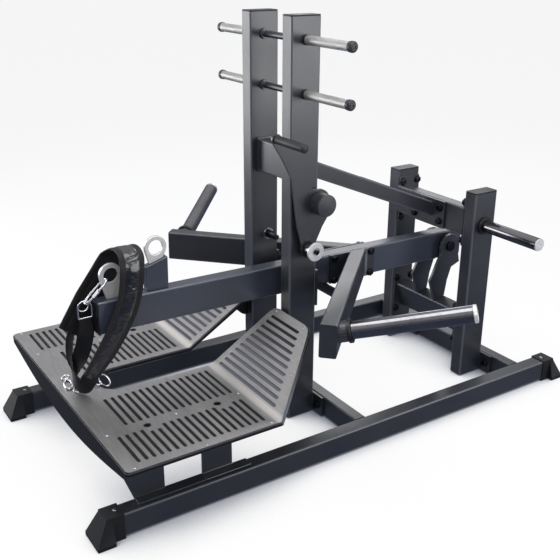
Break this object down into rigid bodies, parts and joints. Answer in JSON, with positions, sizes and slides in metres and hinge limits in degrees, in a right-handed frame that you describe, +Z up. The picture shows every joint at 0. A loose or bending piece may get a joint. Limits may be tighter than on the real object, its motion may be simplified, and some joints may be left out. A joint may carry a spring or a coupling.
{
  "type": "belt squat machine",
  "caption": "Plate-loaded belt squat machine: a hinged lever under a tower carries the belt over a slotted stand-on platform, with a hand lock and plate storage pegs.",
  "frame": {"origin": "floor level at the middle of the machine's length and width", "axes": "+X from the platform end to the pivot end, +Y to the far side away from the lock lever, +Z up"},
  "size_m": [1.771, 1.491, 1.274],
  "materials": {
    "frame_paint": "satin powder coat",
    "lever_paint": "satin powder coat",
    "chrome": "polished",
    "satin_steel": "brushed",
    "black_plastic": "matte",
    "black_rubber": "matte",
    "belt_fabric": "woven nylon"
  },
  "bodies": {
    "frame": {"base_rail_near": "frame_paint", "base_rail_far": "frame_paint", "rail_foot_front_near": "black_rubber", "rail_foot_front_far": "black_rubber", "rail_foot_rear_near": "black_rubber", "rail_foot_rear_far": "black_rubber", "front_cross_tube": "frame_paint", "rear_cross_tube": "frame_paint", "tall_upright_near": "frame_paint", "tall_upright_far": "frame_paint", "tall_upright_cap_near": "black_plastic", "tall_upright_cap_far": "black_plastic", "rear_upright_near": "frame_paint", "rear_upright_far": "frame_paint", "rear_upright_cap_near": "black_plastic", "rear_upright_cap_far": "black_plastic", "tall_cross_tube": "frame_paint", "upper_rear_tube": "frame_paint", "lower_rear_tube": "frame_paint", "brace_tube": "frame_paint", "peg_rod_upper": "frame_paint", "peg_rod_lower": "frame_paint", "peg_upper_near": "satin_steel", "peg_upper_far": "satin_steel", "peg_lower_near": "satin_steel", "peg_lower_far": "satin_steel", "rear_peg_stud_near": "frame_paint", "rear_peg_stud_far": "frame_paint", "rear_peg_near": "chrome", "rear_peg_far": "chrome", "pivot_bracket_near": "frame_paint", "pivot_bracket_far": "frame_paint", "pivot_axle": "satin_steel", "lever_rest": "frame_paint", "lever_rest_pad": "black_rubber", "deck_tread": "satin_steel", "deck_base": "frame_paint", "deck_leg_front_near": "frame_paint", "deck_leg_front_far": "frame_paint", "deck_leg_rear_near": "frame_paint", "deck_leg_rear_far": "frame_paint"},
    "lever": {"lever_tube": "lever_paint", "lever_front_cap": "black_plastic", "eye_post": "lever_paint", "eye_ring_front": "satin_steel", "eye_ring_rear": "satin_steel", "pivot_bearing_near": "black_plastic", "pivot_bearing_far": "black_plastic", "weight_arm_near": "frame_paint", "weight_arm_far": "frame_paint", "loading_sleeve_near": "chrome", "loading_sleeve_far": "chrome", "belt_pad": "belt_fabric", "belt_strap": "belt_fabric", "belt_ring": "chrome", "snap_hook": "chrome"},
    "lock": {"lock_lever": "frame_paint", "lock_shaft": "chrome", "lock_grip": "black_rubber", "lock_roller": "black_rubber"}
  },
  "joints": [
    {"name": "lever_swing", "type": "hinge", "parent": "frame", "child": "lever", "pos_m": [0.6475, 0, 0.439], "axis": [0, 1, 0], "range_deg": [0, 20.5]},
    {"name": "lock_lever_swing", "type": "hinge", "parent": "frame", "child": "lock", "pos_m": [-0.0545, -0.16, 0.591], "axis": [0, 1, 0], "range_deg": [0, 25]}
  ]
}
